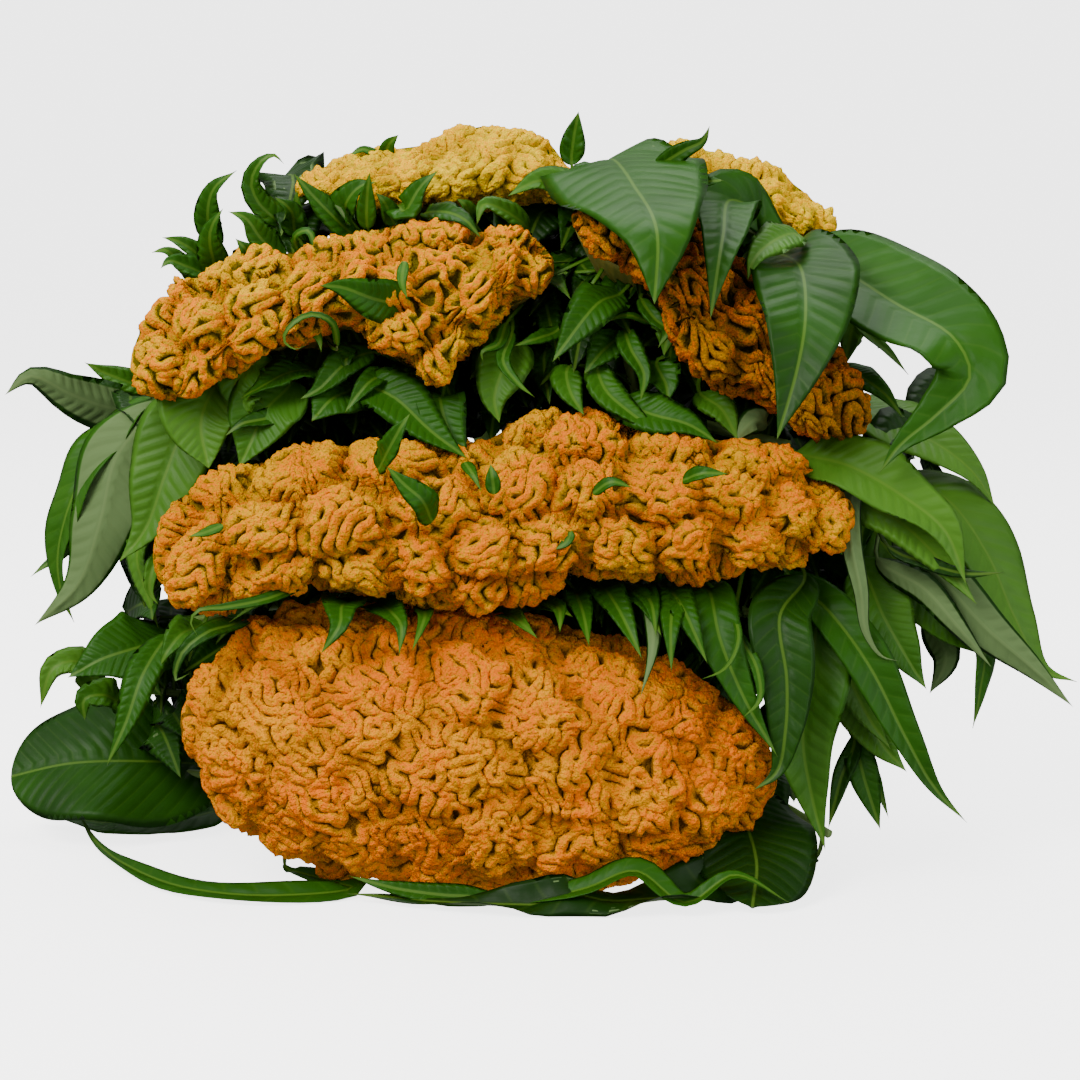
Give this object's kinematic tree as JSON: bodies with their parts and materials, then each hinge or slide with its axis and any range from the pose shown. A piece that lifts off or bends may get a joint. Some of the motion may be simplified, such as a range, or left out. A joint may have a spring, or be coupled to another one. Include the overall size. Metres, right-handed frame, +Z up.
{
  "type": "bunch of cut cockscomb celosia",
  "caption": "Bunch of cut cockscomb celosia lying on its side: orange folded velvety crests on leafy stems that meet in a twine tie behind.",
  "frame": {"origin": "on the surface the bunch lies on, under the middle of its box", "axes": "+Z up, -Y the side the crests face, +Y the cut stem ends, X across the bunch"},
  "size_m": [0.6368, 0.5486, 0.4425],
  "materials": {
    "crest_deep": "velvety, deep orange",
    "crest_gold": "velvety, yellow orange",
    "crest_orange": "velvety, orange",
    "crest_rust": "velvety, brownish orange",
    "crest_pale": "velvety, pale golden",
    "leaf": "satin green leaf and stem",
    "twine": "matte plant fibre"
  },
  "bodies": {
    "root": {"crest_low": "crest_deep", "crest_middle": "crest_gold", "crest_left": "crest_orange", "crest_right": "crest_rust", "crest_top_left": "crest_pale", "crest_top_right": "crest_pale", "leafy_stem_low": "leaf", "leafy_stem_middle": "leaf", "leafy_stem_right": "leaf", "leafy_stem_top_right": "leaf", "leafy_stem_left": "leaf", "leafy_stem_top_left": "leaf", "twine_tie": "twine"}
  },
  "joints": []
}
